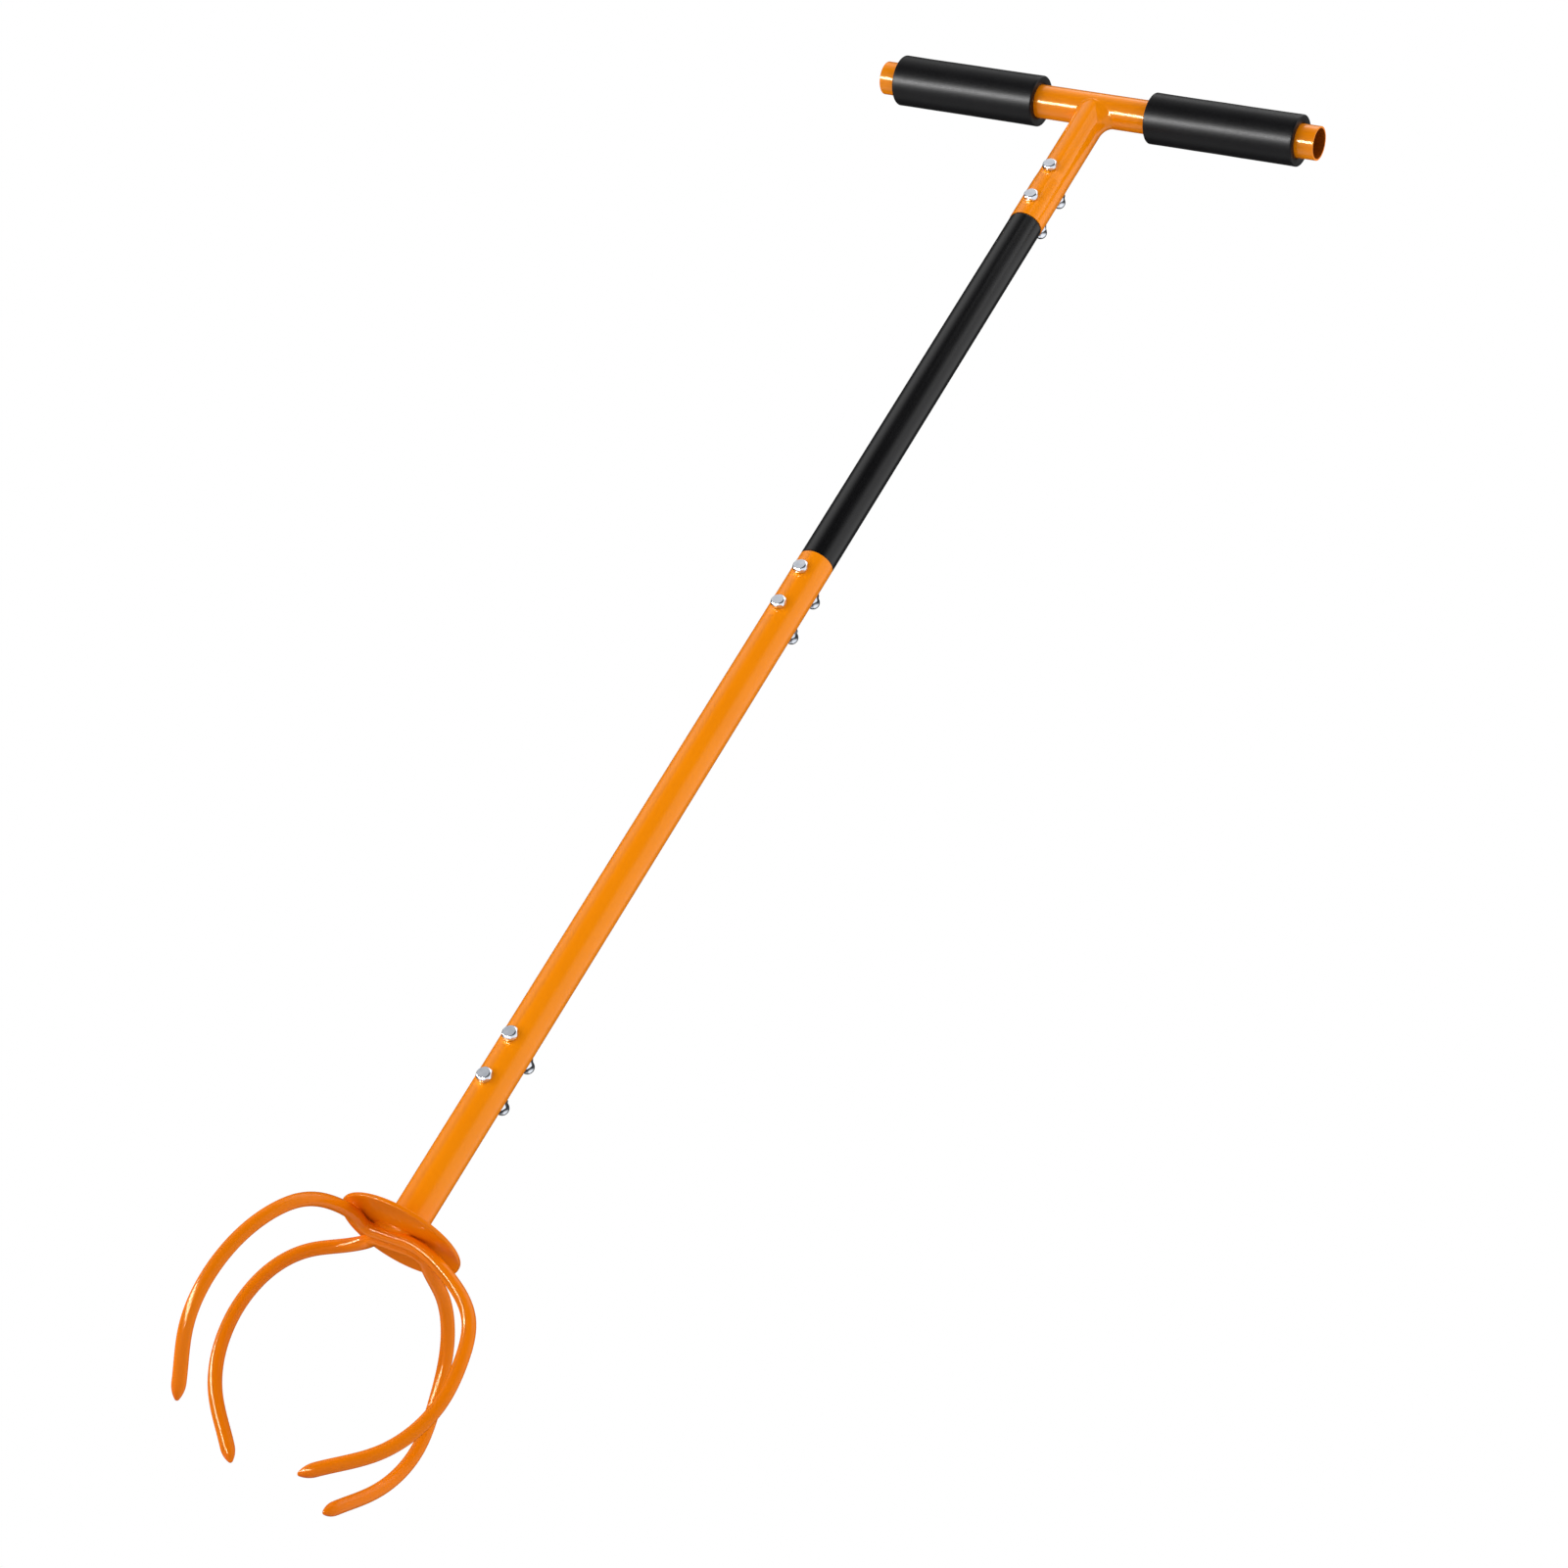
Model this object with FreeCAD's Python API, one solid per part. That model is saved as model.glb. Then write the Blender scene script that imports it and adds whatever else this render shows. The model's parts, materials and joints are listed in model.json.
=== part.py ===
import FreeCAD, Part
import math
import os

# All lengths are in millimetres. Z runs up the shaft, and the tine tips stand at zero.
# X runs along the crossbar to the right, and Y points from the bolt heads to the nuts.
# Near is the side of the bolt heads, and far is the side of the nuts.

# Tubes of the handle and the shaft
tube_diameter = 25.0
tube_wall = 1.5
seat_gap = 0.3
fit_clearance = 0.15
cut_overrun = 2.0

# Handle
crossbar_length = 356.5
grip_diameter = 38.0
grip_length = 118.0
grip_inner_end = 46.2
grip_edge_radius = 2.0
stem_mouth_growth = 0.3
stem_mouth_length = 40.0
stem_mouth_taper = 8.0
right_weld_leg = 8.0
left_weld_leg = 4.0

# The shaft's tubes, from seam to seam, and the stem from its seam to the crossbar's axis
socket_length = 160.2
lower_shaft_length = 404.0
upper_shaft_length = 341.5
stem_length = 127.0
spigot_length = 66.0
shoulder_length = 1.2

# Bolts and cap nuts
bolt_diameter = 6.0
bolt_hole_clearance = 0.2
bolt_seam_distance = 16.4
bolt_pitch = 32.8
hex_across_flats = 10.0
head_thickness = 4.2
head_chamfer = 0.8
nut_hex_height = 6.0
nut_height = 14.6
nut_dome_diameter = 9.4
nut_bore_depth = 11.0
bolt_end_clearance = 1.0

# Claw
disc_diameter = 82.4
disc_thickness = 3.0
disc_edge_radius = 0.9
disc_underside_height = 165.0
socket_weld_leg = 2.6
rod_diameter = 8.8
rod_straight_left = 13.0
rod_straight_right = 9.0
near_rod_offset = 6.5
rod_bend_radius = 8.0
tine_reach = 88.0
tip_length = 9.0
tip_end_diameter = 3.2
rod_weld_leg = 3.2
rod_weld_half_length = 7.0

# Each tine's bend points, from the weld to the last bend, and then its tip. Every point gives
# the shares of the tine reach to the side and forward, and the share of the rod height.
near_left_shares = [
    (-0.265, -0.44, 0.965), (-0.32, -0.81, 0.84), (-0.40, -0.965, 0.67), (-0.465, -1.0, 0.47),
    (-0.475, -0.885, 0.21), (-0.42, -0.61, 0.0),
]
near_right_shares = [
    (0.50, -0.02, 0.94), (0.81, 0.025, 0.81), (0.93, 0.025, 0.64), (0.955, 0.025, 0.445),
    (0.77, 0.0, 0.20), (0.37, -0.08, 0.0),
]
far_left_shares = [
    (-0.46, 0.155, 0.955), (-0.64, 0.11, 0.885), (-0.75, 0.08, 0.81), (-0.855, 0.06, 0.645),
    (-0.84, 0.05, 0.45), (-0.66, 0.08, 0.21), (-0.32, 0.17, 0.0),
]
far_right_shares = [
    (0.215, 0.25, 0.988), (0.255, 0.48, 0.965), (0.305, 0.81, 0.84), (0.35, 0.955, 0.665),
    (0.40, 1.0, 0.47), (0.40, 0.81, 0.21), (0.35, 0.47, 0.0),
]

# How far each tine turns in its first bend beside the weld, in degrees, seen from above
near_left_turn = 84.0
near_right_turn = 0.0
far_left_turn = -50.0
far_right_turn = 84.0

# How far each bolt's flats are turned about its own axis, in degrees
bolt_turns = [40.0, 52.0, 44.0, 36.0, 55.0, 47.0]

# Sizes worked out from the ones above
tube_radius = tube_diameter / 2
bore_radius = tube_radius - tube_wall
spigot_radius = bore_radius - fit_clearance
spigot_bore_radius = spigot_radius - tube_wall
hole_radius = bolt_diameter / 2 + bolt_hole_clearance
rod_radius = rod_diameter / 2
tip_end_radius = tip_end_diameter / 2
rod_height = disc_underside_height - seat_gap - rod_radius
far_rod_offset = rod_diameter + seat_gap - near_rod_offset
disc_top_height = disc_underside_height + disc_thickness
socket_base_height = disc_top_height + seat_gap
lower_seam_height = socket_base_height + socket_length
middle_seam_height = lower_seam_height + lower_shaft_length
upper_seam_height = middle_seam_height + upper_shaft_length
crossbar_height = upper_seam_height + stem_length
bolt_seat = tube_radius + seat_gap

x_axis = FreeCAD.Vector(1, 0, 0)
y_axis = FreeCAD.Vector(0, 1, 0)
z_axis = FreeCAD.Vector(0, 0, 1)


def point(x, y, z):
    return FreeCAD.Vector(x, y, z)


def revolve_about_z(profile):
    """Turns a list of radius and height pairs into a solid ring or bar about the shaft axis."""
    corners = [point(radius, 0, height) for radius, height in profile]
    wire = Part.makePolygon(corners + [corners[0]])
    return Part.Face(wire).revolve(point(0, 0, 0), z_axis, 360)


def bolt_heights():
    """The heights of the six bolts, from the handle down."""
    heights = []
    for seam, direction in (
        (upper_seam_height, 1),
        (middle_seam_height, -1),
        (lower_seam_height, -1),
    ):
        nearer = seam + direction * bolt_seam_distance
        farther = nearer + direction * bolt_pitch
        heights.extend(sorted((nearer, farther), reverse=True))
    return heights


def drill_bolt_holes(shape):
    """Cuts the bolt holes straight through a tube."""
    span = tube_diameter + 2 * cut_overrun
    for height in bolt_heights():
        drill = Part.makeCylinder(hole_radius, span, point(0, -span / 2, height), y_axis)
        if shape.BoundBox.ZMin < height < shape.BoundBox.ZMax:
            shape = shape.cut(drill)
    return shape


def make_crossbar():
    start = point(-crossbar_length / 2, 0, crossbar_height)
    outer = Part.makeCylinder(tube_radius, crossbar_length, start, x_axis)
    start.x -= cut_overrun
    inner = Part.makeCylinder(bore_radius, crossbar_length + 2 * cut_overrun, start, x_axis)
    return outer.cut(inner)


def make_grip(side):
    """A soft sleeve on one half of the crossbar. Side is 1 for the right and -1 for the left."""
    left_end = grip_inner_end if side > 0 else -grip_inner_end - grip_length
    start = point(left_end, 0, crossbar_height)
    sleeve = Part.makeCylinder(grip_diameter / 2, grip_length, start, x_axis)
    rims = [edge for edge in sleeve.Edges if isinstance(edge.Curve, Part.Circle)]
    sleeve = sleeve.makeFillet(grip_edge_radius, rims)
    start.x -= cut_overrun
    bore = Part.makeCylinder(
        tube_radius + seat_gap, grip_length + 2 * cut_overrun, start, x_axis
    )
    return sleeve.cut(bore)


def make_stem():
    """The short tube under the crossbar, coped to it, with a slightly opened mouth."""
    mouth = upper_seam_height
    taper_start = mouth + stem_mouth_length
    taper_end = taper_start + stem_mouth_taper
    top = crossbar_height
    grown = tube_radius + stem_mouth_growth
    stem = revolve_about_z([
        (bore_radius, mouth), (grown, mouth), (grown, taper_start),
        (tube_radius, taper_end), (tube_radius, top), (bore_radius, top),
    ])
    cope_start = point(-crossbar_length / 2, 0, crossbar_height)
    cope = Part.makeCylinder(tube_radius + seat_gap, crossbar_length, cope_start, x_axis)
    return drill_bolt_holes(stem.cut(cope))


def make_stem_weld(side, leg):
    """A hollow-faced fillet in one corner between the stem and the crossbar."""
    reach = tube_radius + leg
    low = crossbar_height - reach
    high = crossbar_height - tube_radius / 2
    inner = tube_radius / 2
    corner = [point(side * inner, -tube_radius, low), point(side * reach, -tube_radius, low),
              point(side * reach, -tube_radius, high), point(side * inner, -tube_radius, high)]
    block = Part.Face(Part.makePolygon(corner + [corner[0]])).extrude(point(0, tube_diameter, 0))
    hollow = Part.makeTorus(reach, leg, point(0, 0, low), z_axis)
    below = Part.makeCylinder(reach, leg, point(0, 0, low - leg), z_axis)
    web = block.common(Part.makeCylinder(reach, tube_diameter, point(0, 0, low), z_axis))
    bar_start = point(-crossbar_length / 2, 0, crossbar_height)
    bar = Part.makeCylinder(tube_radius + seat_gap, crossbar_length, bar_start, x_axis)
    stem = Part.makeCylinder(tube_radius + seat_gap, tube_diameter + reach,
                             point(0, 0, low - leg), z_axis)
    keep_start = point(-crossbar_length / 2, 0, crossbar_height)
    keep = Part.makeCylinder(reach, crossbar_length, keep_start, x_axis)
    return web.cut(hollow).cut(below).cut(bar).cut(stem).common(keep)


def make_upper_shaft():
    """The middle tube, drawn down at both ends to slip into its neighbours."""
    low = middle_seam_height
    high = upper_seam_height
    shaft = revolve_about_z([
        (spigot_bore_radius, low - spigot_length), (spigot_radius, low - spigot_length),
        (spigot_radius, low), (tube_radius - seat_gap, low),
        (tube_radius, low + shoulder_length), (tube_radius, high - shoulder_length),
        (tube_radius - seat_gap, high), (spigot_radius, high),
        (spigot_radius, high + spigot_length), (spigot_bore_radius, high + spigot_length),
    ])
    return drill_bolt_holes(shaft)


def make_lower_shaft():
    """The long lower tube: open at the top for the middle tube, drawn down at the bottom."""
    low = lower_seam_height
    high = middle_seam_height
    neck = low + spigot_length
    shaft = revolve_about_z([
        (spigot_bore_radius, low - spigot_length), (spigot_radius, low - spigot_length),
        (spigot_radius, low), (tube_radius, low), (tube_radius, high), (bore_radius, high),
        (bore_radius, neck), (spigot_bore_radius, neck - tube_wall),
    ])
    return drill_bolt_holes(shaft)


def make_socket():
    """The tube that stands on the disc and takes the lower shaft."""
    socket = revolve_about_z([
        (bore_radius, socket_base_height), (tube_radius, socket_base_height),
        (tube_radius, lower_seam_height), (bore_radius, lower_seam_height),
    ])
    return drill_bolt_holes(socket)


def make_socket_weld():
    """A fillet ring round the foot of the socket."""
    inner = tube_radius + seat_gap
    return revolve_about_z([
        (inner, disc_top_height), (inner + socket_weld_leg, disc_top_height),
        (inner + socket_weld_leg / 3, disc_top_height + socket_weld_leg / 3),
        (inner, disc_top_height + socket_weld_leg),
    ])


def make_disc():
    disc = Part.makeCylinder(disc_diameter / 2, disc_thickness,
                             point(0, 0, disc_underside_height), z_axis)
    rims = [edge for edge in disc.Edges if isinstance(edge.Curve, Part.Circle)]
    return disc.makeFillet(disc_edge_radius, rims)


def spline_edge(points, start_direction, end_direction):
    curve = Part.BSplineCurve()
    curve.interpolate(Points=points, InitialTangent=start_direction,
                      FinalTangent=end_direction, Scale=False)
    return curve.toShape()


def tine_points(shares):
    rise = rod_height - tip_end_radius
    return [point(side * tine_reach, forward * tine_reach, tip_end_radius + height * rise)
            for side, forward, height in shares]


def first_bend(root, heading, turn):
    """An arc in plan from the end of the straight middle, with its end and new heading."""
    side = math.copysign(1, turn)
    centre = root + FreeCAD.Rotation(z_axis, side * 90).multVec(heading) * rod_bend_radius
    halfway = FreeCAD.Rotation(z_axis, turn / 2).multVec(root - centre) + centre
    end = FreeCAD.Rotation(z_axis, turn).multVec(root - centre) + centre
    arc = Part.Arc(root, halfway, end).toShape()
    return arc, end, FreeCAD.Rotation(z_axis, turn).multVec(heading)


def make_tip(base, direction):
    """A tine's point. Its sides curve in from the rod and run smoothly into a round end."""
    squares = rod_radius ** 2 + tip_length ** 2 - tip_end_radius ** 2
    side_radius = squares / (2 * (rod_radius - tip_end_radius))
    side_centre = point(rod_radius - side_radius, 0, 0)
    end_centre = point(0, 0, tip_length)
    outward = (end_centre - side_centre).normalize()
    side_start = point(rod_radius, 0, 0)
    side_middle = side_centre + (x_axis + outward).normalize() * side_radius
    side_end = side_centre + outward * side_radius
    end_middle = end_centre + (z_axis + outward).normalize() * tip_end_radius
    end = end_centre + z_axis * tip_end_radius
    edges = [
        Part.Arc(side_start, side_middle, side_end).toShape(),
        Part.Arc(side_end, end_middle, end).toShape(),
        Part.makeLine(end, point(0, 0, 0)),
        Part.makeLine(point(0, 0, 0), side_start),
    ]
    tip = Part.Face(Part.Wire(edges)).revolve(point(0, 0, 0), z_axis, 360)
    tip.Placement = FreeCAD.Placement(base, FreeCAD.Rotation(z_axis, direction))
    return tip


def make_tine(root, heading, turn, shares):
    """One arm of a rod, from the end of its straight middle to its rounded point."""
    ring = Part.Wire(Part.makeCircle(rod_radius, root, heading))
    edges = []
    if turn:
        arc, root, heading = first_bend(root, heading, turn)
        edges.append(arc)
    bends = tine_points(shares)
    tip = bends.pop()
    tip_direction = (tip - bends[-1]).normalize()
    tip_base = tip - tip_direction * tip_length
    edges.append(spline_edge([root] + bends + [tip_base], heading, tip_direction))
    arm = Part.Wire(edges).makePipeShell([ring], True, False)
    return [arm, make_tip(tip_base, tip_direction)]


def make_rod(offset, left_turn, left_shares, right_turn, right_shares):
    """A rod bent into two tines, with its straight middle welded under the disc."""
    left_root = point(-rod_straight_left, offset, rod_height)
    right_root = point(rod_straight_right, offset, rod_height)
    rod = Part.makeCylinder(rod_radius, rod_straight_left + rod_straight_right, left_root, x_axis)
    arms = make_tine(left_root, x_axis * -1, left_turn, left_shares)
    arms += make_tine(right_root, x_axis, right_turn, right_shares)
    for solid in arms:
        rod = rod.fuse(solid)
    return rod.removeSplitter()


def make_rod_weld(direction, offset):
    """A bead between the disc and the outer side of one rod's straight middle."""
    middle = (rod_straight_right - rod_straight_left) / 2
    side = offset + direction * rod_radius
    outer = side + direction * rod_weld_leg / 2
    bead_low = disc_underside_height - rod_weld_leg
    profile = [(offset, disc_underside_height), (outer, disc_underside_height),
               (side, bead_low), (offset, bead_low)]
    corners = [point(middle - rod_weld_half_length, y, z) for y, z in profile]
    face = Part.Face(Part.makePolygon(corners + [corners[0]]))
    bead = face.extrude(point(2 * rod_weld_half_length, 0, 0))
    start = point(-crossbar_length / 2, offset, rod_height)
    clear = Part.makeCylinder(rod_radius + seat_gap, crossbar_length, start, x_axis)
    return max(bead.cut(clear).Solids, key=lambda solid: solid.Volume)


def hex_prism(base, height, turn):
    """A six-sided bar along Y from its base point."""
    corner_radius = hex_across_flats / math.sqrt(3)
    corners = []
    for index in range(6):
        angle = math.radians(60 * index + turn)
        corners.append(base + point(corner_radius * math.cos(angle), 0,
                                    corner_radius * math.sin(angle)))
    face = Part.Face(Part.makePolygon(corners + [corners[0]]))
    return face.extrude(point(0, height, 0))


def chamfer_cone(base, height, direction):
    """A cone that takes the corners off a hexagon's outer end."""
    corner_radius = hex_across_flats / math.sqrt(3)
    end_radius = hex_across_flats / 2 - head_chamfer / 2
    slope_height = (corner_radius - end_radius) / 2
    body = Part.makeCylinder(corner_radius, height - slope_height, base, direction)
    slope_base = base + direction * (height - slope_height)
    return body.fuse(Part.makeCone(corner_radius, end_radius, slope_height, slope_base, direction))


def make_bolt(height, turn):
    head_base = point(0, -bolt_seat - head_thickness, height)
    head = hex_prism(head_base, head_thickness, turn)
    outward = chamfer_cone(point(0, -bolt_seat, height), head_thickness, y_axis * -1)
    head = head.common(outward)
    shank_length = 2 * bolt_seat + nut_bore_depth - bolt_end_clearance
    shank = Part.makeCylinder(bolt_diameter / 2, shank_length,
                              point(0, -bolt_seat, height), y_axis)
    return head.fuse(shank).removeSplitter()


def make_cap_nut(height, turn):
    base = point(0, bolt_seat, height)
    nut = hex_prism(base, nut_hex_height, turn)
    nut = nut.common(chamfer_cone(base, nut_hex_height, y_axis))
    dome_radius = nut_dome_diameter / 2
    dome_base = base + point(0, nut_hex_height, 0)
    barrel_length = nut_height - nut_hex_height - dome_radius
    nut = nut.fuse(Part.makeCylinder(dome_radius, barrel_length, dome_base, y_axis))
    dome_centre = dome_base + point(0, barrel_length, 0)
    ball = Part.makeSphere(dome_radius, dome_centre)
    cap = Part.makeCylinder(dome_radius, dome_radius, dome_centre, y_axis)
    nut = nut.fuse(ball.common(cap))
    thread_radius = bolt_diameter / 2 + fit_clearance
    bore = Part.makeCylinder(thread_radius, nut_bore_depth, base, y_axis)
    return nut.cut(bore).removeSplitter()


def build_all():
    parts = {
        "crossbar": make_crossbar(),
        "left_grip": make_grip(-1),
        "right_grip": make_grip(1),
        "stem": make_stem(),
        "stem_weld_right": make_stem_weld(1, right_weld_leg),
        "stem_weld_left": make_stem_weld(-1, left_weld_leg),
        "upper_shaft": make_upper_shaft(),
        "lower_shaft": make_lower_shaft(),
        "claw_socket": make_socket(),
        "socket_weld": make_socket_weld(),
        "claw_disc": make_disc(),
        "near_rod": make_rod(-near_rod_offset, near_left_turn, near_left_shares,
                             near_right_turn, near_right_shares),
        "far_rod": make_rod(far_rod_offset, far_left_turn, far_left_shares,
                            far_right_turn, far_right_shares),
        "near_rod_weld": make_rod_weld(-1, -near_rod_offset),
        "far_rod_weld": make_rod_weld(1, far_rod_offset),
    }
    for index, (height, turn) in enumerate(zip(bolt_heights(), bolt_turns), start=1):
        parts["bolt_%d" % index] = make_bolt(height, turn)
        parts["cap_nut_%d" % index] = make_cap_nut(height, turn)
    return parts


os.makedirs("parts", exist_ok=True)
for name, shape in build_all().items():
    shape.exportStep("parts/%s.step" % name)
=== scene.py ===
import json
import math
import random

import bmesh
import bpy
from mathutils import Matrix, Vector


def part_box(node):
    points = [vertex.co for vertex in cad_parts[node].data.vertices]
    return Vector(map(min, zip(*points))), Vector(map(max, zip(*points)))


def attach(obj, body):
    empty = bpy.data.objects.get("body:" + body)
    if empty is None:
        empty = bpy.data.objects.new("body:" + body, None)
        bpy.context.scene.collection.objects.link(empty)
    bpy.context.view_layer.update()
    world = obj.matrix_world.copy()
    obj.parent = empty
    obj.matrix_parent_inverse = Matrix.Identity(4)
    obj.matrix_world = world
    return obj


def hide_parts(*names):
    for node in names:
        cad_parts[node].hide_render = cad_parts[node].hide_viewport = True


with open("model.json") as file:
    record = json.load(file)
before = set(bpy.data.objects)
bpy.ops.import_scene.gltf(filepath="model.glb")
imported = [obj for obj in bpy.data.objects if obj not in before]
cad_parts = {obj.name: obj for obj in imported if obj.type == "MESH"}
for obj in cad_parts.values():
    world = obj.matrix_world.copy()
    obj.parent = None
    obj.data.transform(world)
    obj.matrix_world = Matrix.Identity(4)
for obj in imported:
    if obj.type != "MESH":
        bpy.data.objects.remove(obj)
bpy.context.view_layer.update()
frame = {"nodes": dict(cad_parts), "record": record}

# Sizes in metres, the same as the solids have
MM = 0.001
TUBE_R = 12.5 * MM
BORE_R = 11.0 * MM
BAR_Z = 1201.0 * MM
GRIP_R = 19.0 * MM
GRIP_EDGE = 1.1 * MM
DISC_UNDER = 165.0 * MM
DISC_TOP = 168.0 * MM
ROD_R = 4.4 * MM
ROD_Z = 160.3 * MM
NEAR_ROD_Y = -6.5 * MM
FAR_ROD_Y = 2.6 * MM
SEAT_GAP = 0.3 * MM
BOLT_SEAT = TUBE_R + SEAT_GAP
HEX_APOTHEM = 5.0 * MM
HEAD_THICKNESS = 4.2 * MM
BOLT_STICK_OUT = 10.0 * MM
NUT_HEX = 6.0 * MM
NUT_HEIGHT = 14.6 * MM
DOME_R = 4.7 * MM
SHANK_R = 3.0 * MM
THREAD_R = 3.15 * MM
BOLT_TURNS = (40.0, 52.0, 44.0, 36.0, 55.0, 47.0)


# Node helpers
def node(nt, kind, inputs=None, **props):
    made = nt.nodes.new(kind)
    for key, value in props.items():
        setattr(made, key, value)
    for key, value in (inputs or {}).items():
        made.inputs[key].default_value = value
    return made


def new_material(name):
    mat = bpy.data.materials.new(name)
    mat.use_nodes = True
    nt = mat.node_tree
    nt.nodes.clear()
    out = node(nt, "ShaderNodeOutputMaterial")
    bsdf = node(nt, "ShaderNodeBsdfPrincipled")
    nt.links.new(bsdf.outputs["BSDF"], out.inputs["Surface"])
    return mat, nt, bsdf


def coords(nt, stretch=None):
    tex = node(nt, "ShaderNodeTexCoord")
    if stretch is None:
        return tex.outputs["Object"]
    mapping = node(nt, "ShaderNodeMapping")
    mapping.inputs["Scale"].default_value = stretch
    nt.links.new(tex.outputs["Object"], mapping.inputs["Vector"])
    return mapping.outputs["Vector"]


def noise(nt, vec, scale, detail, rough):
    made = node(nt, "ShaderNodeTexNoise", {"Scale": scale, "Detail": detail, "Roughness": rough})
    nt.links.new(vec, made.inputs["Vector"])
    return made.outputs["Fac"]


def ramp(nt, fac, stops):
    made = node(nt, "ShaderNodeValToRGB")
    for element, (position, colour) in zip(made.color_ramp.elements, stops):
        element.position = position
        element.color = (*colour, 1.0)
    nt.links.new(fac, made.inputs["Fac"])
    return made.outputs["Color"]


def map_range(nt, value, source, target, smooth=False):
    """Turns the source span into the target span, in a straight line or in a smooth step."""
    made = node(nt, "ShaderNodeMapRange", {"From Min": source[0], "From Max": source[1],
                                           "To Min": target[0], "To Max": target[1]})
    if smooth:
        made.interpolation_type = "SMOOTHSTEP"
    nt.links.new(value, made.inputs["Value"])
    return made.outputs["Result"]


def mix_colour(nt, fac, first, second):
    made = node(nt, "ShaderNodeMix", data_type="RGBA")
    nt.links.new(fac, made.inputs[0])
    nt.links.new(first, made.inputs[6])
    made.inputs[7].default_value = (*second, 1.0)
    return made.outputs[2]


def mix_shader(nt, fac, first, second):
    made = node(nt, "ShaderNodeMixShader")
    for socket, value in zip(made.inputs, (fac, first, second)):
        nt.links.new(value, socket)
    return made.outputs[0]


def maths(nt, operation, *values):
    made = node(nt, "ShaderNodeMath", operation=operation)
    for socket, value in zip(made.inputs, values):
        if isinstance(value, float):
            socket.default_value = value
        else:
            nt.links.new(value, socket)
    return made.outputs[0]


def vector_maths(nt, operation, vec, *constants, result="Value"):
    made = node(nt, "ShaderNodeVectorMath", operation=operation)
    nt.links.new(vec, made.inputs[0])
    for socket, value in zip(list(made.inputs)[1:], constants):
        socket.default_value = value
    return made.outputs[result]


def bump(nt, bsdf, height, strength, distance):
    made = node(nt, "ShaderNodeBump", {"Strength": strength, "Distance": distance})
    nt.links.new(height, made.inputs["Height"])
    nt.links.new(made.outputs["Normal"], bsdf.inputs["Normal"])


# Colours and gloss of the orange coat, on the tubes and on the claw. The claw's colours are the
# same paint made darker, as painted shade
TUBE_LOOK = {"low": (0.91, 0.250, 0.0006), "high": (0.96, 0.272, 0.0010),
             "specular": 0.34, "gloss": 0.14}
CLAW_SHADED_LOOK = {"low": (0.80, 0.184, 0.0006), "high": (0.88, 0.208, 0.0010),
             "specular": 0.13, "gloss": 0.07}
CLAW_WELD_SHADED_LOOK = {**CLAW_SHADED_LOOK, "specular": 0.03, "gloss": 0.03}
WORN_ORANGE = (0.70, 0.15, 0.002)
# Brown painted on the wall of the crossbar's bore, as painted shade
BORE_SHADE_BROWN = (0.26, 0.050, 0.001)
WARM_TINT = (1.0, 0.78, 0.40, 1.0)


# Materials
def painted_shade_inside_bore(nt, colour):
    """Painted shade: brown on the wall of the crossbar's bore, where shade falls, and the given
    colour further out.
    """
    from_axis = vector_maths(nt, "MULTIPLY_ADD", coords(nt), (0.0, 1.0, 1.0), (0.0, 0.0, -BAR_Z),
                             result="Vector")
    radius = vector_maths(nt, "LENGTH", from_axis)
    inside = map_range(nt, radius, (BORE_R + 0.05 * MM, BORE_R + 0.5 * MM), (1.0, 0.0))
    return mix_colour(nt, inside, colour, BORE_SHADE_BROWN)


def orange_coat(name, low, high, specular, gloss, lumps=0.0, bore=False):
    """Glossy baked powder coat with faint orange peel, handling scuffs and, on welds, lumps."""
    mat, nt, bsdf = new_material(name)
    vec = coords(nt)
    broad = noise(nt, vec, scale=11.0, detail=3.0, rough=0.5)
    colour = ramp(nt, broad, [(0.3, low), (0.7, high)])
    specks = noise(nt, vec, scale=420.0, detail=6.0, rough=0.7)
    worn = map_range(nt, specks, (0.72, 0.80), (0.0, 0.5))
    colour = mix_colour(nt, worn, colour, WORN_ORANGE)
    # Painted shade: the wall inside the crossbar's bore is darkened to brown
    if bore:
        colour = painted_shade_inside_bore(nt, colour)
    nt.links.new(colour, bsdf.inputs["Base Color"])
    scuff = noise(nt, coords(nt, (1.0, 1.0, 0.12)), scale=160.0, detail=5.0, rough=0.62)
    nt.links.new(map_range(nt, scuff, (0.35, 0.75), (0.15, 0.20)), bsdf.inputs["Roughness"])
    bsdf.inputs["Specular IOR Level"].default_value = specular
    bsdf.inputs["Specular Tint"].default_value = WARM_TINT
    bsdf.inputs["Coat Weight"].default_value = gloss
    bsdf.inputs["Coat Roughness"].default_value = 0.04
    peel = noise(nt, vec, scale=520.0, detail=2.0, rough=0.45)
    if lumps:
        swell = noise(nt, vec, scale=260.0, detail=3.0, rough=0.5)
        height = maths(nt, "ADD", peel, maths(nt, "MULTIPLY", swell, lumps))
        bump(nt, bsdf, height, strength=0.05, distance=0.4 * MM)
    else:
        bump(nt, bsdf, peel, strength=0.004, distance=0.4 * MM)
    return mat


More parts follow.
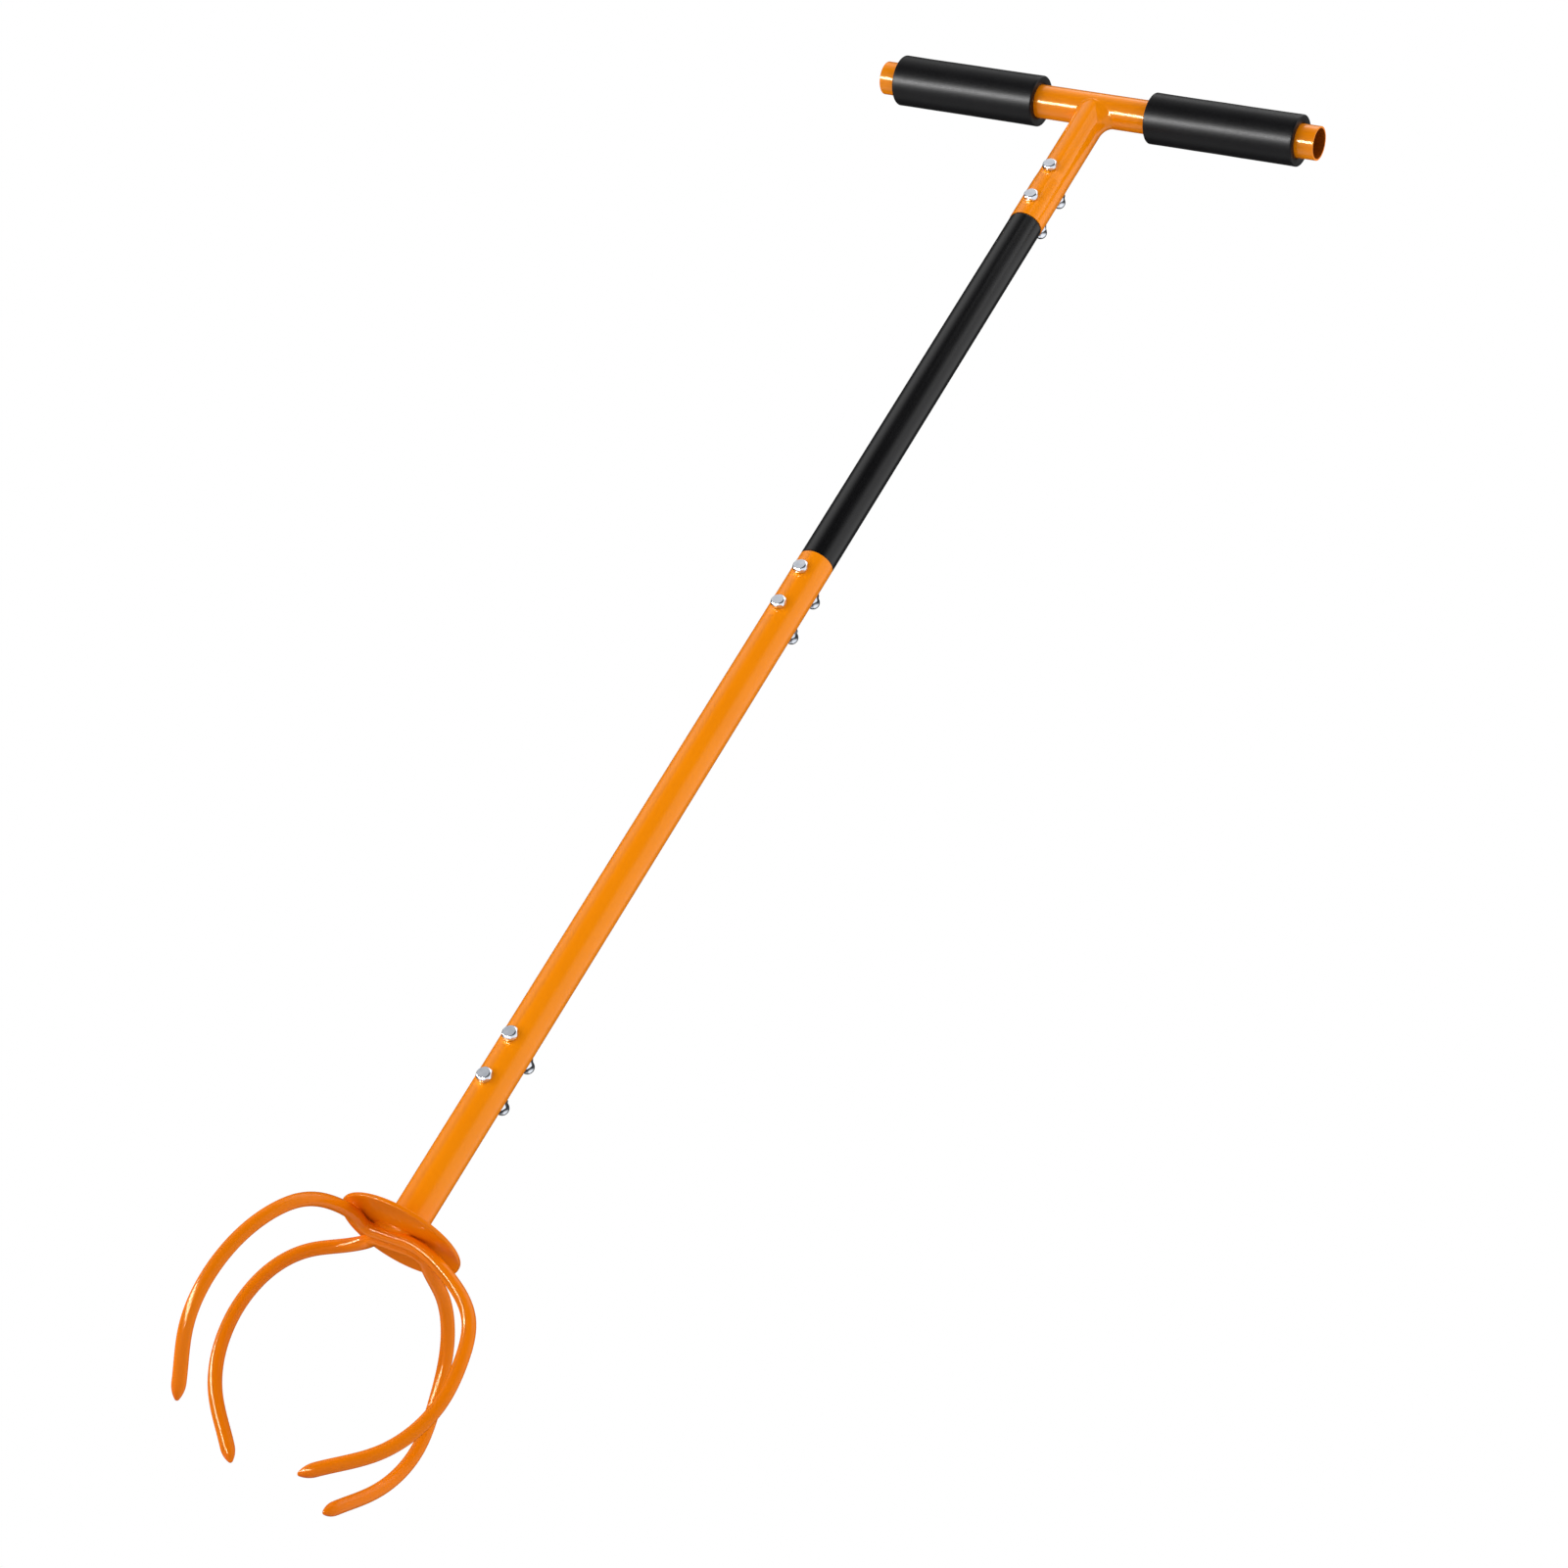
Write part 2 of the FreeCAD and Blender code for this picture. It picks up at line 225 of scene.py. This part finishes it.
def black_coat(name):
    """Satin black powder coat with a fine even texture and faint lengthwise rub marks."""
    mat, nt, bsdf = new_material(name)
    vec = coords(nt)
    broad = noise(nt, vec, scale=16.0, detail=3.0, rough=0.5)
    grain = noise(nt, vec, scale=1500.0, detail=3.0, rough=0.6)
    rubbed = noise(nt, coords(nt, (1.0, 1.0, 0.06)), scale=420.0, detail=4.0, rough=0.6)
    colour = ramp(nt, broad, [(0.3, (0.0016, 0.0016, 0.0020)), (0.7, (0.0028, 0.0028, 0.0034))])
    marks = map_range(nt, rubbed, (0.62, 0.8), (0.0, 0.4))
    colour = mix_colour(nt, marks, colour, (0.009, 0.009, 0.010))
    nt.links.new(colour, bsdf.inputs["Base Color"])
    rough = maths(nt, "ADD", map_range(nt, grain, (0.3, 0.7), (0.0, 0.07)),
                  map_range(nt, rubbed, (0.4, 0.8), (0.22, 0.17)))
    nt.links.new(rough, bsdf.inputs["Roughness"])
    bsdf.inputs["Specular IOR Level"].default_value = 0.30
    bump(nt, bsdf, grain, strength=0.06, distance=0.3 * MM)
    return mat


def foam(name):
    """Dense closed-cell grip foam: a skin with fine pores, painted darker in their pits as painted
    shade, and slightly paler in blotches.
    """
    mat, nt, bsdf = new_material(name)
    vec = coords(nt)
    cells = node(nt, "ShaderNodeTexVoronoi", {"Scale": 1500.0})
    nt.links.new(vec, cells.inputs["Vector"])
    blotch = noise(nt, vec, scale=48.0, detail=4.0, rough=0.55)
    pits = noise(nt, vec, scale=800.0, detail=3.0, rough=0.6)
    colour = ramp(nt, blotch, [(0.3, (0.0026, 0.0025, 0.0031)), (0.7, (0.0044, 0.0043, 0.0051))])
    # The pits of the pores are painted darker, as painted shade
    pore_shade = map_range(nt, cells.outputs["Distance"], (0.0, 0.5), (0.3, 0.0))
    colour = mix_colour(nt, pore_shade, colour, (0.0015, 0.0015, 0.0018))
    nt.links.new(colour, bsdf.inputs["Base Color"])
    nt.links.new(map_range(nt, pits, (0.3, 0.7), (0.30, 0.42)), bsdf.inputs["Roughness"])
    bsdf.inputs["Specular IOR Level"].default_value = 0.115
    bsdf.inputs["Sheen Weight"].default_value = 0.01
    bsdf.inputs["Sheen Roughness"].default_value = 0.5
    height = maths(nt, "ADD", pits, cells.outputs["Distance"])
    bump(nt, bsdf, height, strength=0.04, distance=0.3 * MM)
    return mat


def zinc(name):
    """Bright zinc plate: mirror-like with a cool cast, slightly dull in patches."""
    mat, nt, bsdf = new_material(name)
    vec = coords(nt)
    fine = noise(nt, vec, scale=420.0, detail=4.0, rough=0.55)
    patches = noise(nt, vec, scale=120.0, detail=3.0, rough=0.5)
    colour = ramp(nt, patches, [(0.3, (0.56, 0.60, 0.67)), (0.7, (0.74, 0.77, 0.83))])
    nt.links.new(colour, bsdf.inputs["Base Color"])
    bsdf.inputs["Metallic"].default_value = 1.0
    nt.links.new(map_range(nt, fine, (0.3, 0.7), (0.09, 0.20)), bsdf.inputs["Roughness"])
    bump(nt, bsdf, fine, strength=0.05, distance=0.2 * MM)
    return mat


mat_orange = orange_coat("orange_coat", **TUBE_LOOK)
mat_bar_shaded_bore = orange_coat("bar_coat_shaded_bore", **TUBE_LOOK, bore=True)
mat_weld = orange_coat("orange_weld", **TUBE_LOOK, lumps=2.0)
mat_claw_shaded = orange_coat("claw_coat_shaded", **CLAW_SHADED_LOOK)
mat_claw_weld_shaded = orange_coat("claw_weld_shaded", **CLAW_WELD_SHADED_LOOK, lumps=1.0)
mat_black = black_coat("black_coat")
mat_foam = foam("grip_foam")
mat_zinc = zinc("zinc_plate")

# Materials of the solids that stay in view
slot_of = {s["node"]: s["material_slot"] for s in frame["record"]["subparts"]}
by_slot = {"orange_coat": mat_orange, "black_coat": mat_black, "grip_foam": mat_foam,
           "zinc": mat_zinc}
for name, obj in frame["nodes"].items():
    obj.data.materials.clear()
    obj.data.materials.append(by_slot[slot_of[name]])
# The claw's solids and welds take the darker copy of the orange coat, which is painted shade
for name in ("claw_disc", "near_rod", "far_rod"):
    frame["nodes"][name].data.materials[0] = mat_claw_shaded
frame["nodes"]["crossbar"].data.materials[0] = mat_bar_shaded_bore


# Mesh helpers
def mesh_object(name, bm, mat):
    bmesh.ops.recalc_face_normals(bm, faces=bm.faces)
    mesh = bpy.data.meshes.new(name)
    bm.to_mesh(mesh)
    bm.free()
    for polygon in mesh.polygons:
        polygon.use_smooth = True
    obj = bpy.data.objects.new(name, mesh)
    bpy.context.scene.collection.objects.link(obj)
    obj.data.materials.append(mat)
    return obj


def loft(name, rings, mat, closed=False, poles=False, sharp=()):
    """A skin through rings of points. It closes on itself, or ends in caps or poles.
    The lines listed in sharp run along the rings' points and keep a hard edge."""
    bm = bmesh.new()
    rows = [[bm.verts.new(p) for p in ring] for ring in rings]
    count = len(rows[0])
    pairs = list(zip(rows, rows[1:]))
    if closed:
        pairs.append((rows[-1], rows[0]))
    for first, second in pairs:
        for j in range(count):
            k = (j + 1) % count
            bm.faces.new((first[j], second[j], second[k], first[k]))
    if not closed:
        for row in (rows[0], rows[-1]):
            if poles:
                middle = sum((v.co for v in row), Vector()) / count
                pole = bm.verts.new(middle)
                for j in range(count):
                    bm.faces.new((row[j], row[(j + 1) % count], pole))
            else:
                bm.faces.new(row)
    for first, second in pairs:
        for j in sharp:
            bm.edges.get((first[j], second[j])).smooth = False
    return mesh_object(name, bm, mat)


def dress(obj, node_name):
    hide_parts(node_name)
    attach(obj, "root")


def smooth_noise(seed):
    """A smooth repeatable ripple made of a few sine waves."""
    source = random.Random(seed)
    waves = [(source.uniform(0.6, 1.0) / (k + 1), source.uniform(0.7, 1.3) * (k + 1),
              source.uniform(0, 2 * math.pi)) for k in range(7)]
    total = sum(w[0] for w in waves)
    return lambda t: sum(a * math.sin(f * t + p) for a, f, p in waves) / total


def two_handle_curve(start, first, second, end, count):
    """Points on the curve that leaves start towards first and reaches end from second."""
    points = []
    for j in range(count + 1):
        t = j / count
        points.append(start * (1 - t) ** 3 + first * (3 * t * (1 - t) ** 2)
                      + second * (3 * t ** 2 * (1 - t)) + end * t ** 3)
    return points


def one_handle_curve(start, control, end, count):
    """Points on the curve from start to end that bends towards control."""
    return [start * (1 - t) ** 2 + control * (2 * t * (1 - t)) + end * t ** 2
            for t in (j / count for j in range(count + 1))]


# Foam grips
def grip_profile(length):
    """Radius and place along the sleeve, from its bore over the first rim to the other rim."""
    inner = TUBE_R + SEAT_GAP
    bevel = 0.6 * MM
    face = inner + 0.8 * MM
    rim_steps = 6
    steps = 60
    profile = [(inner, bevel), (face, 0.0)]
    for i in range(rim_steps + 1):
        a = math.pi / 2 * i / rim_steps
        profile.append((GRIP_R - GRIP_EDGE + GRIP_EDGE * math.sin(a),
                        GRIP_EDGE - GRIP_EDGE * math.cos(a)))
    for i in range(1, steps):
        profile.append((GRIP_R, GRIP_EDGE + (length - 2 * GRIP_EDGE) * i / steps))
    for i in range(rim_steps + 1):
        a = math.pi / 2 * i / rim_steps
        profile.append((GRIP_R - GRIP_EDGE + GRIP_EDGE * math.cos(a),
                        length - GRIP_EDGE + GRIP_EDGE * math.sin(a)))
    return profile + [(face, length), (inner, length - bevel)]


def grip(name, node_name, seed):
    """A foam sleeve with narrow rounded rims, a faint hand-worn waist and soft dents."""
    low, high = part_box(node_name)
    length = high.x - low.x
    waist = 0.16 * MM
    dent = 0.10 * MM
    spans = 128
    swell = smooth_noise(seed)
    swirl = smooth_noise(seed + 1)
    rings = []
    for i in range(spans):
        angle = 2 * math.pi * i / spans
        ring = []
        for radius, along in grip_profile(length):
            share = along / length
            flat = max(0.0, 1 - (2 * share - 1) ** 6)
            depth = 0.0
            if radius > GRIP_R - GRIP_EDGE:
                dents = dent * swell(9 * share) * math.sin(angle + 2 * swirl(4 * share))
                depth = flat * (waist + dents)
            r = radius - depth
            ring.append(Vector((low.x + along, r * math.cos(angle), BAR_Z + r * math.sin(angle))))
        rings.append(ring)
    obj = loft(name, rings, mat_foam, closed=True)
    dress(obj, node_name)


grip("foam_grip_left", "left_grip", 11)
grip("foam_grip_right", "right_grip", 23)


# Welds where the stem meets the crossbar, with their edges just under the tubes' surfaces
ARCH_TURN = math.radians(83)
ARCH_WIDTH = 12.0 * MM
BURIED_R = TUBE_R - 0.05 * MM
CORNER_DEPTH = 0.5 * MM
FRONT_REACH = 3.0 * MM
FRONT_LIP = 0.9 * MM
FRONT_EASE = 0.05
FRONT_PULL = 0.67
SIDE_EASE = 0.10


def meeting_point(on_stem, stem_out, on_bar, bar_out, own):
    """The point nearest both edges that lies level with the stem's and the bar's surfaces.
    With own above 1 it stays near them where the two surfaces are almost parallel."""
    middle = (on_stem + on_bar) / 2
    stem_gap = stem_out.dot(on_stem - middle)
    bar_gap = bar_out.dot(on_bar - middle)
    shared = stem_out.dot(bar_out)
    spread = own ** 2 - shared ** 2
    point = middle + stem_out * ((stem_gap * own - bar_gap * shared) / spread)
    point += bar_out * ((bar_gap * own - stem_gap * shared) / spread)
    return point


def tee_section(turn, bar_reach, stem_reach, lip, across):
    """Points over the weld from the stem to the crossbar, at one angle about the stem."""
    side = math.cos(turn)
    tilt = ARCH_TURN * math.sin(turn)
    x = ARCH_WIDTH * side + math.copysign(bar_reach * abs(side) ** 2, side)
    sideways = abs(side) ** 1.5
    drop = (1 - sideways) * FRONT_REACH + sideways * stem_reach
    stem_out = Vector((side, math.sin(turn), 0))
    bar_out = Vector((0, math.sin(tilt), -math.cos(tilt)))
    on_stem = stem_out * BURIED_R + Vector((0, 0, -TUBE_R * math.cos(tilt) - drop))
    on_bar = bar_out * BURIED_R + Vector((x, 0, 0))
    own = 1 + FRONT_EASE * math.sin(turn) ** 4
    corner = meeting_point(on_stem, stem_out, on_bar, bar_out, own)
    pull = FRONT_PULL - SIDE_EASE * side ** 2
    first = on_stem + (corner - on_stem) * pull
    second = on_bar + (corner - on_bar) * pull + bar_out * lip
    points = two_handle_curve(on_stem, first, second, on_bar, across)
    points.append(corner - (stem_out + bar_out).normalized() * CORNER_DEPTH)
    return points


def tee_weld(name, node_name, middle, bar_reach, stem_reach, bulge, ripple, seed):
    """Half of the weld round the stem's head, widest in the corner under the crossbar."""
    across = 20
    along = 180
    half = math.radians(91)
    wave = smooth_noise(seed)
    rings = []
    for i in range(along + 1):
        share = i / along
        turn = middle + half * (2 * share - 1)
        face_on = math.sin(turn) ** 2
        lip = face_on * FRONT_LIP + (1 - face_on) * bulge
        lip += ripple * math.sin(70 * share + 4 * wave(6 * share))
        section = tee_section(turn, bar_reach, stem_reach, lip, across)
        rings.append([p + Vector((0, 0, BAR_Z)) for p in section])
    dress(loft(name, rings, mat_weld, sharp=(0, across)), node_name)


tee_weld("tee_weld_right", "stem_weld_right", middle=0.0, bar_reach=8.0 * MM,
         stem_reach=16.0 * MM, bulge=0.0, ripple=0.03 * MM, seed=3)
tee_weld("tee_weld_left", "stem_weld_left", middle=math.pi, bar_reach=1.5 * MM,
         stem_reach=3.5 * MM, bulge=0.5 * MM, ripple=0.12 * MM, seed=8)


# Weld round the foot of the socket
def foot_weld():
    spans = 220
    across = 7
    leg = 2.3 * MM
    uneven = 0.25 * MM
    ripple = 0.16 * MM
    buried = TUBE_R - 0.1 * MM
    seat = DISC_TOP + 0.02 * MM
    wave = smooth_noise(31)
    rings = []
    for i in range(spans):
        angle = 2 * math.pi * i / spans
        beat = ripple * math.sin(52 * angle + 2.5 * wave(angle))
        size = leg + uneven * wave(3 * math.sin(angle) + 2 * math.cos(angle)) + beat
        out = Vector((math.cos(angle), math.sin(angle), 0))
        top = out * buried + Vector((0, 0, DISC_TOP + size))
        toe = out * (TUBE_R + size) + Vector((0, 0, seat))
        heel = out * buried + Vector((0, 0, seat))
        control = out * (TUBE_R + 0.30 * size) + Vector((0, 0, DISC_TOP + 0.30 * size))
        rings.append(one_handle_curve(top, control, toe, across) + [heel])
    dress(loft("foot_weld_bead", rings, mat_weld, closed=True), "socket_weld")


foot_weld()


# Welds between the rods and the underside of the disc
def rod_weld(name, node_name, rod_y, direction, x_low, x_high, seed):
    """A hand-laid bead in the corner between a rod and the disc, with overlapping ripples.
    Towards its ends it narrows and climbs into the corner."""
    along = 120
    across = 12
    leg = 2.9 * MM
    uneven = 0.3 * MM
    ripple = 0.04 * MM
    buried = 0.1 * MM
    end_size = 0.02
    end_degrees = 80
    spread_degrees = 62
    wave = smooth_noise(seed)
    drift = smooth_noise(seed + 3)
    rings = []
    for i in range(along + 1):
        share = i / along
        x = x_low + (x_high - x_low) * share
        taper = end_size + (1 - end_size) * math.sin(math.pi * share) ** 0.7
        beat = math.sin(70 * share + 9 * wave(5 * share))
        size = taper * (leg + uneven * drift(6 * share) + ripple * beat)
        centre = Vector((x, rod_y, ROD_Z))
        angle = math.radians(end_degrees - spread_degrees * taper)
        angle += 0.12 * taper * drift(9 * share)
        outward = Vector((0, direction * math.cos(angle), math.sin(angle)))
        on_rod = centre + outward * (ROD_R - buried)
        reach = ROD_R * (0.2 + 0.8 * taper) + 0.7 * size
        toe_y = rod_y + direction * reach
        on_disc = Vector((x, toe_y, DISC_UNDER + buried))
        control = Vector((x, toe_y - direction * 0.2 * size, DISC_UNDER - 0.62 * size))
        inside = centre + Vector((0, direction * ROD_R * 0.55, ROD_R * 0.78))
        rings.append(one_handle_curve(on_rod, control, on_disc, across) + [inside])
    dress(loft(name, rings, mat_claw_weld_shaded, poles=True, sharp=(0, across)), node_name)


rod_weld("near_weld_bead", "near_rod_weld", NEAR_ROD_Y, direction=-1,
         x_low=-17.0 * MM, x_high=12.0 * MM, seed=41)
rod_weld("far_weld_bead", "far_rod_weld", FAR_ROD_Y, direction=1,
         x_low=-14.0 * MM, x_high=9.5 * MM, seed=57)


# Bolts and cap nuts
def hex_reach(angle, turn):
    """How far a hexagon with softened corners reaches at an angle about its axis."""
    sixth = math.pi / 3
    off = (angle - math.radians(turn)) % sixth - sixth / 2
    reach = HEX_APOTHEM / math.cos(off)
    corner = HEX_APOTHEM * 1.125
    soft = 0.25 * MM
    blend = max(0.0, min(1.0, 0.5 + 0.5 * (corner - reach) / soft))
    return corner * (1 - blend) + reach * blend - soft * blend * (1 - blend)


def turned_piece(name, node_name, profile, direction, height, turn):
    """A closed piece about Y. Each level of the profile says whether it is a hexagon, which
    radius limits it, and how far it lies out from the seat."""
    spans = 96
    rings = []
    for hexed, limit, depth in profile:
        ring = []
        for i in range(spans):
            angle = 2 * math.pi * i / spans
            reach = min(hex_reach(angle, turn), limit) if hexed else limit
            ring.append(Vector((reach * math.cos(angle), direction * (BOLT_SEAT + depth),
                                height + reach * math.sin(angle))))
        rings.append(ring)
    dress(loft(name, rings, mat_zinc, poles=True), node_name)


def bolt_profile():
    """The bolt from its shank's end to the flat face of its head."""
    top = HEAD_THICKNESS
    shank_end = 2 * BOLT_SEAT + BOLT_STICK_OUT
    bevel = 0.6 * MM
    wide = 5.45 * MM
    face = 3.9 * MM
    return [
        (False, SHANK_R - bevel, -shank_end), (False, SHANK_R, -shank_end + bevel),
        (False, SHANK_R, -0.05 * MM), (False, 4.7 * MM, 0.0), (True, 5.0 * MM, 0.05 * MM),
        (True, 5.2 * MM, 0.22 * MM), (True, wide, 0.5 * MM), (True, wide, top - 1.5 * MM),
        (True, 5.3 * MM, top - 1.1 * MM), (True, 5.05 * MM, top - 0.8 * MM),
        (False, 4.75 * MM, top - 0.45 * MM), (False, 4.35 * MM, top - 0.12 * MM),
        (False, 4.1 * MM, top), (False, face, top), (False, face - 0.3 * MM, top),
        (False, 2.8 * MM, top), (False, 0.4 * MM, top),
    ]


def nut_profile():
    """The cap nut from the end of its blind thread, over its seat, to the top of its dome."""
    wide = 5.8 * MM
    thread_end = 11.0 * MM
    bevel = 0.3 * MM
    barrel_end = NUT_HEIGHT - DOME_R
    profile = [
        (False, bevel, thread_end), (False, THREAD_R, thread_end - 0.6 * MM),
        (False, THREAD_R, bevel), (False, THREAD_R + bevel, 0.0), (False, 4.7 * MM, 0.0),
        (True, 5.05 * MM, 0.12 * MM), (True, 5.45 * MM, 0.45 * MM), (True, wide, 0.85 * MM),
        (True, wide, NUT_HEX - 0.95 * MM), (True, 5.45 * MM, NUT_HEX - 0.55 * MM),
        (True, 5.05 * MM, NUT_HEX - 0.15 * MM), (False, 4.85 * MM, NUT_HEX),
        (False, DOME_R, NUT_HEX + 0.15 * MM), (False, DOME_R, barrel_end),
    ]
    steps = 12
    for i in range(1, steps):
        a = math.pi / 2 * i / steps
        profile.append((False, DOME_R * math.cos(a), barrel_end + DOME_R * math.sin(a)))
    profile.append((False, 0.25 * MM, NUT_HEIGHT))
    return profile


for index, turn in enumerate(BOLT_TURNS, start=1):
    low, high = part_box("bolt_%d" % index)
    level = (low.z + high.z) / 2
    turned_piece("bolt_head_%d" % index, "bolt_%d" % index, bolt_profile(), -1, level, turn)
    turned_piece("dome_nut_%d" % index, "cap_nut_%d" % index, nut_profile(), 1, level, turn)

# Floor, seen from above only, pale round the tool and fading to the white surround
FLOOR_GREY = (0.78, 0.78, 0.78, 1.0)
FLOOR_HALF = 6.0
FLOOR_DROP = 0.2 * MM
FADE_SPAN = (0.25, 1.1)
WHITE = (1, 1, 1, 1)


def floor_material():
    mat = bpy.data.materials.new("floor_pale")
    mat.use_nodes = True
    nt = mat.node_tree
    nt.nodes.clear()
    out = node(nt, "ShaderNodeOutputMaterial")
    diffuse = node(nt, "ShaderNodeBsdfDiffuse", {"Color": FLOOR_GREY})
    white = node(nt, "ShaderNodeEmission", {"Color": WHITE, "Strength": 1.0})
    clear = node(nt, "ShaderNodeBsdfTransparent")
    geometry = node(nt, "ShaderNodeNewGeometry")
    path = node(nt, "ShaderNodeLightPath")
    reach = vector_maths(nt, "LENGTH", geometry.outputs["Position"])
    fade = map_range(nt, reach, FADE_SPAN, (0.0, 1.0), smooth=True)
    fade = maths(nt, "MULTIPLY", fade, path.outputs["Is Camera Ray"])
    pale = mix_shader(nt, fade, diffuse.outputs[0], white.outputs[0])
    hidden = maths(nt, "MAXIMUM", geometry.outputs["Backfacing"], path.outputs["Is Shadow Ray"])
    hidden = maths(nt, "MAXIMUM", hidden, path.outputs["Is Glossy Ray"])
    nt.links.new(mix_shader(nt, hidden, pale, clear.outputs[0]), out.inputs["Surface"])
    return mat


def make_floor():
    bm = bmesh.new()
    bmesh.ops.create_grid(bm, x_segments=12, y_segments=12, size=FLOOR_HALF)
    mesh = bpy.data.meshes.new("floor")
    bm.to_mesh(mesh)
    bm.free()
    floor = bpy.data.objects.new("floor", mesh)
    floor.location.z = -FLOOR_DROP
    bpy.context.scene.collection.objects.link(floor)
    mesh.materials.append(floor_material())


make_floor()

# Camera, fitted to the photograph's view
cam_axes = Matrix(((0.861153, -0.221178, 0.457707),
                   (0.235952, -0.623608, -0.745278),
                   (0.450269, 0.749796, -0.484835)))
cam_place = Vector((1.158814, -1.774584, -0.602527))
cam_data = bpy.data.cameras.new("camera")
cam_data.sensor_fit = "HORIZONTAL"
cam_data.sensor_width = 36.0
cam_data.lens = 84.12
cam_data.clip_start = 0.05
cam_data.clip_end = 60.0
cam = bpy.data.objects.new("camera", cam_data)
cam.matrix_world = Matrix.Translation(cam_place) @ cam_axes.to_4x4()
bpy.context.scene.collection.objects.link(cam)
bpy.context.scene.camera = cam
right, up, front = cam_axes.col

# World: the camera sees white, and gloss sees white with darker parts
AMBIENT = 0.44
DARK_SIDE = Vector((0.22, -0.92, 0.28)).normalized()


def surround_shade(nt):
    """How bright gloss sees each direction: dark on one side, in a level band, behind the
    tool as the camera sees it, and a little darker straight down, where the floor is."""
    direction = node(nt, "ShaderNodeTexCoord").outputs["Generated"]
    split = node(nt, "ShaderNodeSeparateXYZ")
    nt.links.new(direction, split.inputs[0])
    facing = vector_maths(nt, "DOT_PRODUCT", direction, DARK_SIDE)
    falloff = map_range(nt, facing, (0.55, 0.93), (1.25, 0.03), smooth=True)
    level = maths(nt, "ABSOLUTE", maths(nt, "ADD", split.outputs["Z"], 0.12))
    band = map_range(nt, level, (0.36, 0.58), (0.22, 1.0), smooth=True)
    lit_side = map_range(nt, split.outputs["X"], (0.0, 0.3), (0.0, 1.0), smooth=True)
    band = maths(nt, "MAXIMUM", band, lit_side)
    behind = vector_maths(nt, "DOT_PRODUCT", direction, -front)
    far_side = map_range(nt, behind, (0.33, 0.75), (1.0, 0.05), smooth=True)
    floor_side = map_range(nt, split.outputs["Z"], (-0.98, -0.86), (0.45, 1.0), smooth=True)
    shade = maths(nt, "MULTIPLY", falloff, maths(nt, "MULTIPLY", band, far_side))
    return maths(nt, "MULTIPLY", shade, floor_side)


def make_world():
    world = bpy.data.worlds.new("studio")
    bpy.context.scene.world = world
    world.use_nodes = True
    world.cycles.sampling_method = "NONE"
    nt = world.node_tree
    nt.nodes.clear()
    out = node(nt, "ShaderNodeOutputWorld")
    white = node(nt, "ShaderNodeBackground", {"Color": WHITE, "Strength": 1.0})
    ambient = node(nt, "ShaderNodeBackground", {"Color": WHITE, "Strength": AMBIENT})
    surround = node(nt, "ShaderNodeBackground", {"Color": WHITE})
    nt.links.new(surround_shade(nt), surround.inputs["Strength"])
    path = node(nt, "ShaderNodeLightPath")
    seen = maths(nt, "MAXIMUM", path.outputs["Is Camera Ray"], path.outputs["Is Transmission Ray"])
    unseen = mix_shader(nt, path.outputs["Is Glossy Ray"], ambient.outputs[0], surround.outputs[0])
    nt.links.new(mix_shader(nt, seen, unseen, white.outputs[0]), out.inputs["Surface"])


make_world()


# Lamps
def area(name, place, target, width, height, power, along=None):
    """A rectangular lamp that points at its target, with its width along a direction if given."""
    light = bpy.data.lights.new(name, "AREA")
    light.energy = power
    light.shape = "RECTANGLE"
    light.size = width
    light.size_y = height
    lamp = bpy.data.objects.new(name, light)
    aim = (Vector(place) - Vector(target)).normalized()
    if along is None:
        turn = (-aim).to_track_quat("-Z", "Y").to_matrix()
    else:
        side = (Vector(along) - aim * Vector(along).dot(aim)).normalized()
        turn = Matrix((side, aim.cross(side), aim)).transposed()
    lamp.matrix_world = Matrix.Translation(place) @ turn.to_4x4()
    bpy.context.scene.collection.objects.link(lamp)
    return lamp


shaft_middle = Vector((0.0, 0.0, 0.62))
bar_middle = Vector((0.0, 0.0, BAR_Z))
key = area("key", shaft_middle - right * 2.1 + up * 0.58 + front * 0.58, shaft_middle,
           width=2.4, height=2.4, power=58)
fill = area("fill", shaft_middle + right * 1.9 + up * 0.2 + front * 0.6, shaft_middle,
            width=2.2, height=2.4, power=23)
key.visible_glossy = False
fill.visible_glossy = False
area("top", Vector((0.4, -0.4, 2.8)), shaft_middle, width=2.2, height=2.2, power=20)
card = area("highlight_card", bar_middle + Vector((-0.458, -0.576, -0.677)) * 2.0, bar_middle,
            width=2.6, height=0.42, power=200, along=(1, 0, 0))
card.visible_diffuse = False

scene = bpy.context.scene
scene.view_settings.view_transform = "Standard"
